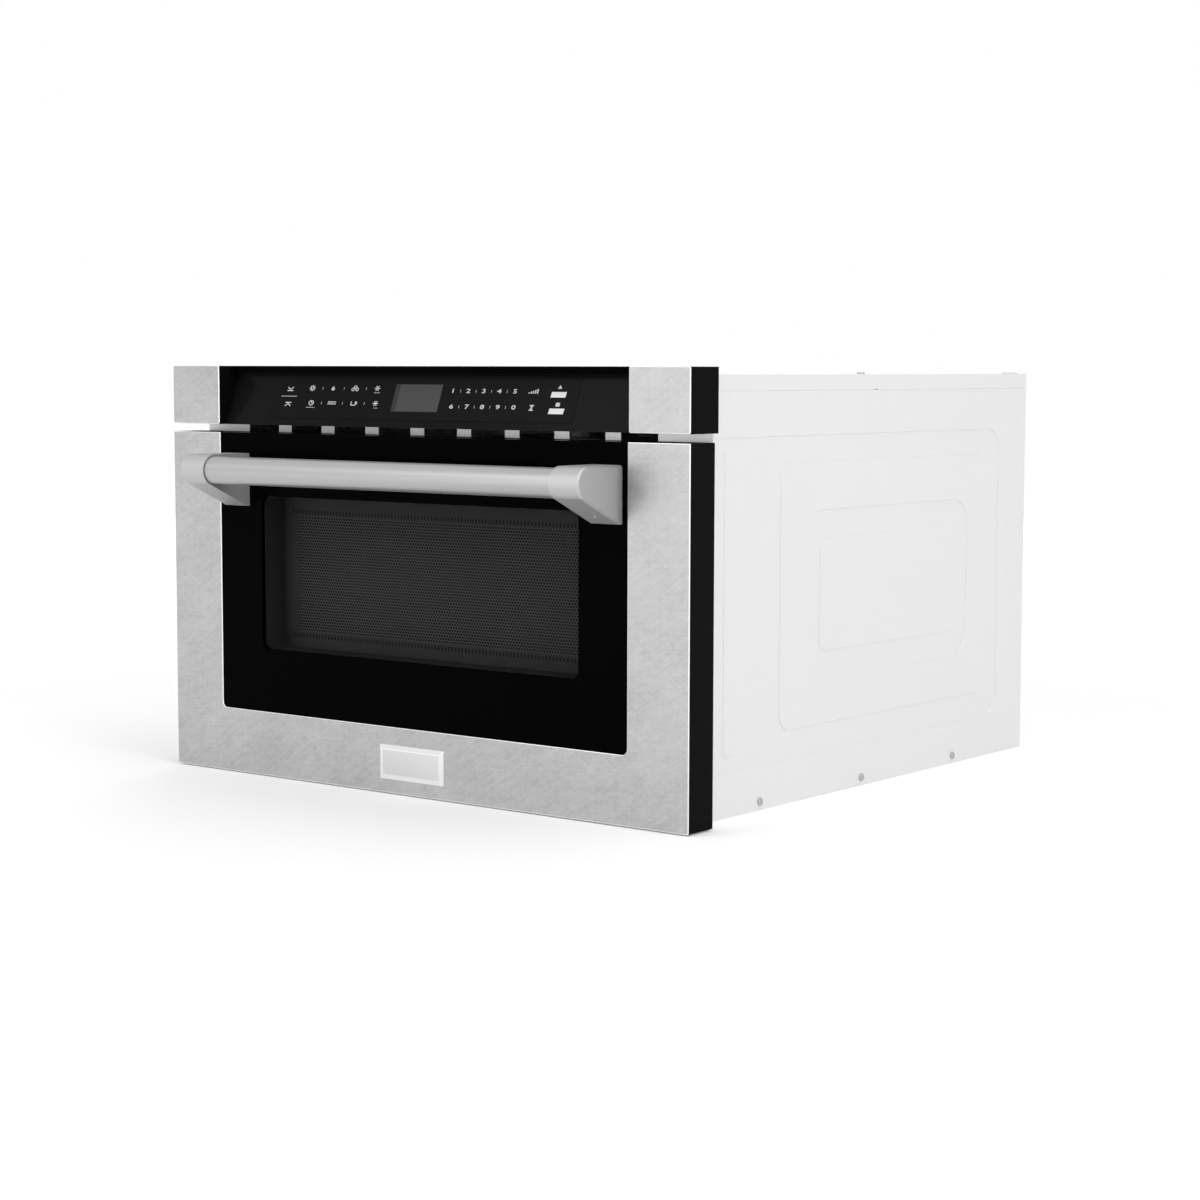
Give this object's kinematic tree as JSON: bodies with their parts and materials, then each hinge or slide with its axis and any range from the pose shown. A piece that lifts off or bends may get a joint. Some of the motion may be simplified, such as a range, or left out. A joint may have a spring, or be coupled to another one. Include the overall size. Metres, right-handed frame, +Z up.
{
  "type": "microwave drawer",
  "caption": "Built-in microwave oven that opens as a drawer: brushed steel front, black glass window, tube handle, leaning touch panel and a plated sheet chassis.",
  "frame": {"origin": "middle of the bounding box, on the floor under the base plate", "axes": "+Z up, +Y from the front towards the back, +X to the right seen from the front"},
  "size_m": [0.6064, 0.6644, 0.3826],
  "materials": {
    "brushed_steel": "fine cross-brushed",
    "bright_steel": "satin bright",
    "satin_handle": "satin",
    "black_front": "satin black",
    "black_glass": "gloss black glass",
    "display": "grey display",
    "chassis_sheet": "plated sheet, satin",
    "cavity_steel": "satin",
    "screen_metal": "dark enamel",
    "tray_glass": "clear ceramic glass",
    "cover_sheet": "matte",
    "aluminium": "mill",
    "zinc_steel": "zinc plated",
    "machine_plastic": "moulded",
    "motor_case": "plated",
    "core_iron": "varnished laminations",
    "winding": "enamelled wire",
    "circuit_board": "board"
  },
  "bodies": {
    "chassis": {"base_plate": "chassis_sheet", "cavity_shell": "cavity_steel", "chassis_screws": "zinc_steel", "control_board": "circuit_board", "control_glass": "black_glass", "control_housing": "black_front", "cord_gland": "machine_plastic", "display_module": "display", "drive_motor": "motor_case", "end_cap_left": "brushed_steel", "end_cap_right": "brushed_steel", "fan_motor": "motor_case", "fan_shroud": "machine_plastic", "front_frame": "chassis_sheet", "hv_capacitor": "motor_case", "interlock_switches": "machine_plastic", "magnetron": "aluminium", "outer_rail_left": "zinc_steel", "outer_rail_right": "zinc_steel", "oven_lamp": "motor_case", "rack_guide": "machine_plastic", "rear_panel": "chassis_sheet", "side_panel_left": "chassis_sheet", "side_panel_right": "chassis_sheet", "stirrer_cover": "cover_sheet", "stirrer_dome": "cavity_steel", "stirrer_motor": "motor_case", "top_cover": "chassis_sheet", "transformer_coils": "winding", "transformer_core": "core_iron", "waveguide": "aluminium"},
    "drawer": {"drawer_frame": "black_front", "front_skin": "brushed_steel", "front_glass": "black_glass", "window_screen": "screen_metal", "choke_frame": "cavity_steel", "badge_plate": "bright_steel", "handle_tube": "satin_handle", "handle_bracket_left": "satin_handle", "handle_bracket_right": "satin_handle", "handle_screws": "zinc_steel", "drawer_tub": "cavity_steel", "floor_glass": "tray_glass", "inner_rail_left": "zinc_steel", "inner_rail_right": "zinc_steel", "drive_rack": "machine_plastic", "latch_prongs": "machine_plastic"},
    "rail_left": {"middle_rail_left": "zinc_steel"},
    "rail_right": {"middle_rail_right": "zinc_steel"},
    "pinion": {"pinion": "machine_plastic"},
    "stirrer": {"stirrer_blade": "aluminium"},
    "fan": {"fan_blade": "machine_plastic"}
  },
  "joints": [
    {"name": "drawer_slide", "type": "slide", "parent": "chassis", "child": "drawer", "axis": [0, -1, 0], "range_m": [0, 0.38]},
    {"name": "rail_left_slide", "type": "slide", "parent": "chassis", "child": "rail_left", "axis": [0, -1, 0], "range_m": [0, 0.19]},
    {"name": "rail_right_slide", "type": "slide", "parent": "chassis", "child": "rail_right", "axis": [0, -1, 0], "range_m": [0, 0.19]},
    {"name": "pinion_spin", "type": "hinge", "parent": "chassis", "child": "pinion", "pos_m": [0, -0.19985, 0.034], "axis": [1, 0, 0], "range_deg": [0, 1361]},
    {"name": "stirrer_spin", "type": "hinge", "parent": "chassis", "child": "stirrer", "pos_m": [0, -0.02485, 0.298], "axis": [0, 0, 1], "continuous": true},
    {"name": "fan_spin", "type": "hinge", "parent": "chassis", "child": "fan", "pos_m": [-0.128, 0.26515, 0.21], "axis": [1, 0, 0], "continuous": true}
  ],
  "couplings": [
    {"joint": "rail_left_slide", "follows": "drawer_slide", "ratio": 0.5},
    {"joint": "rail_right_slide", "follows": "drawer_slide", "ratio": 0.5},
    {"joint": "pinion_spin", "follows": "drawer_slide", "rad_per_m": 62.5}
  ]
}
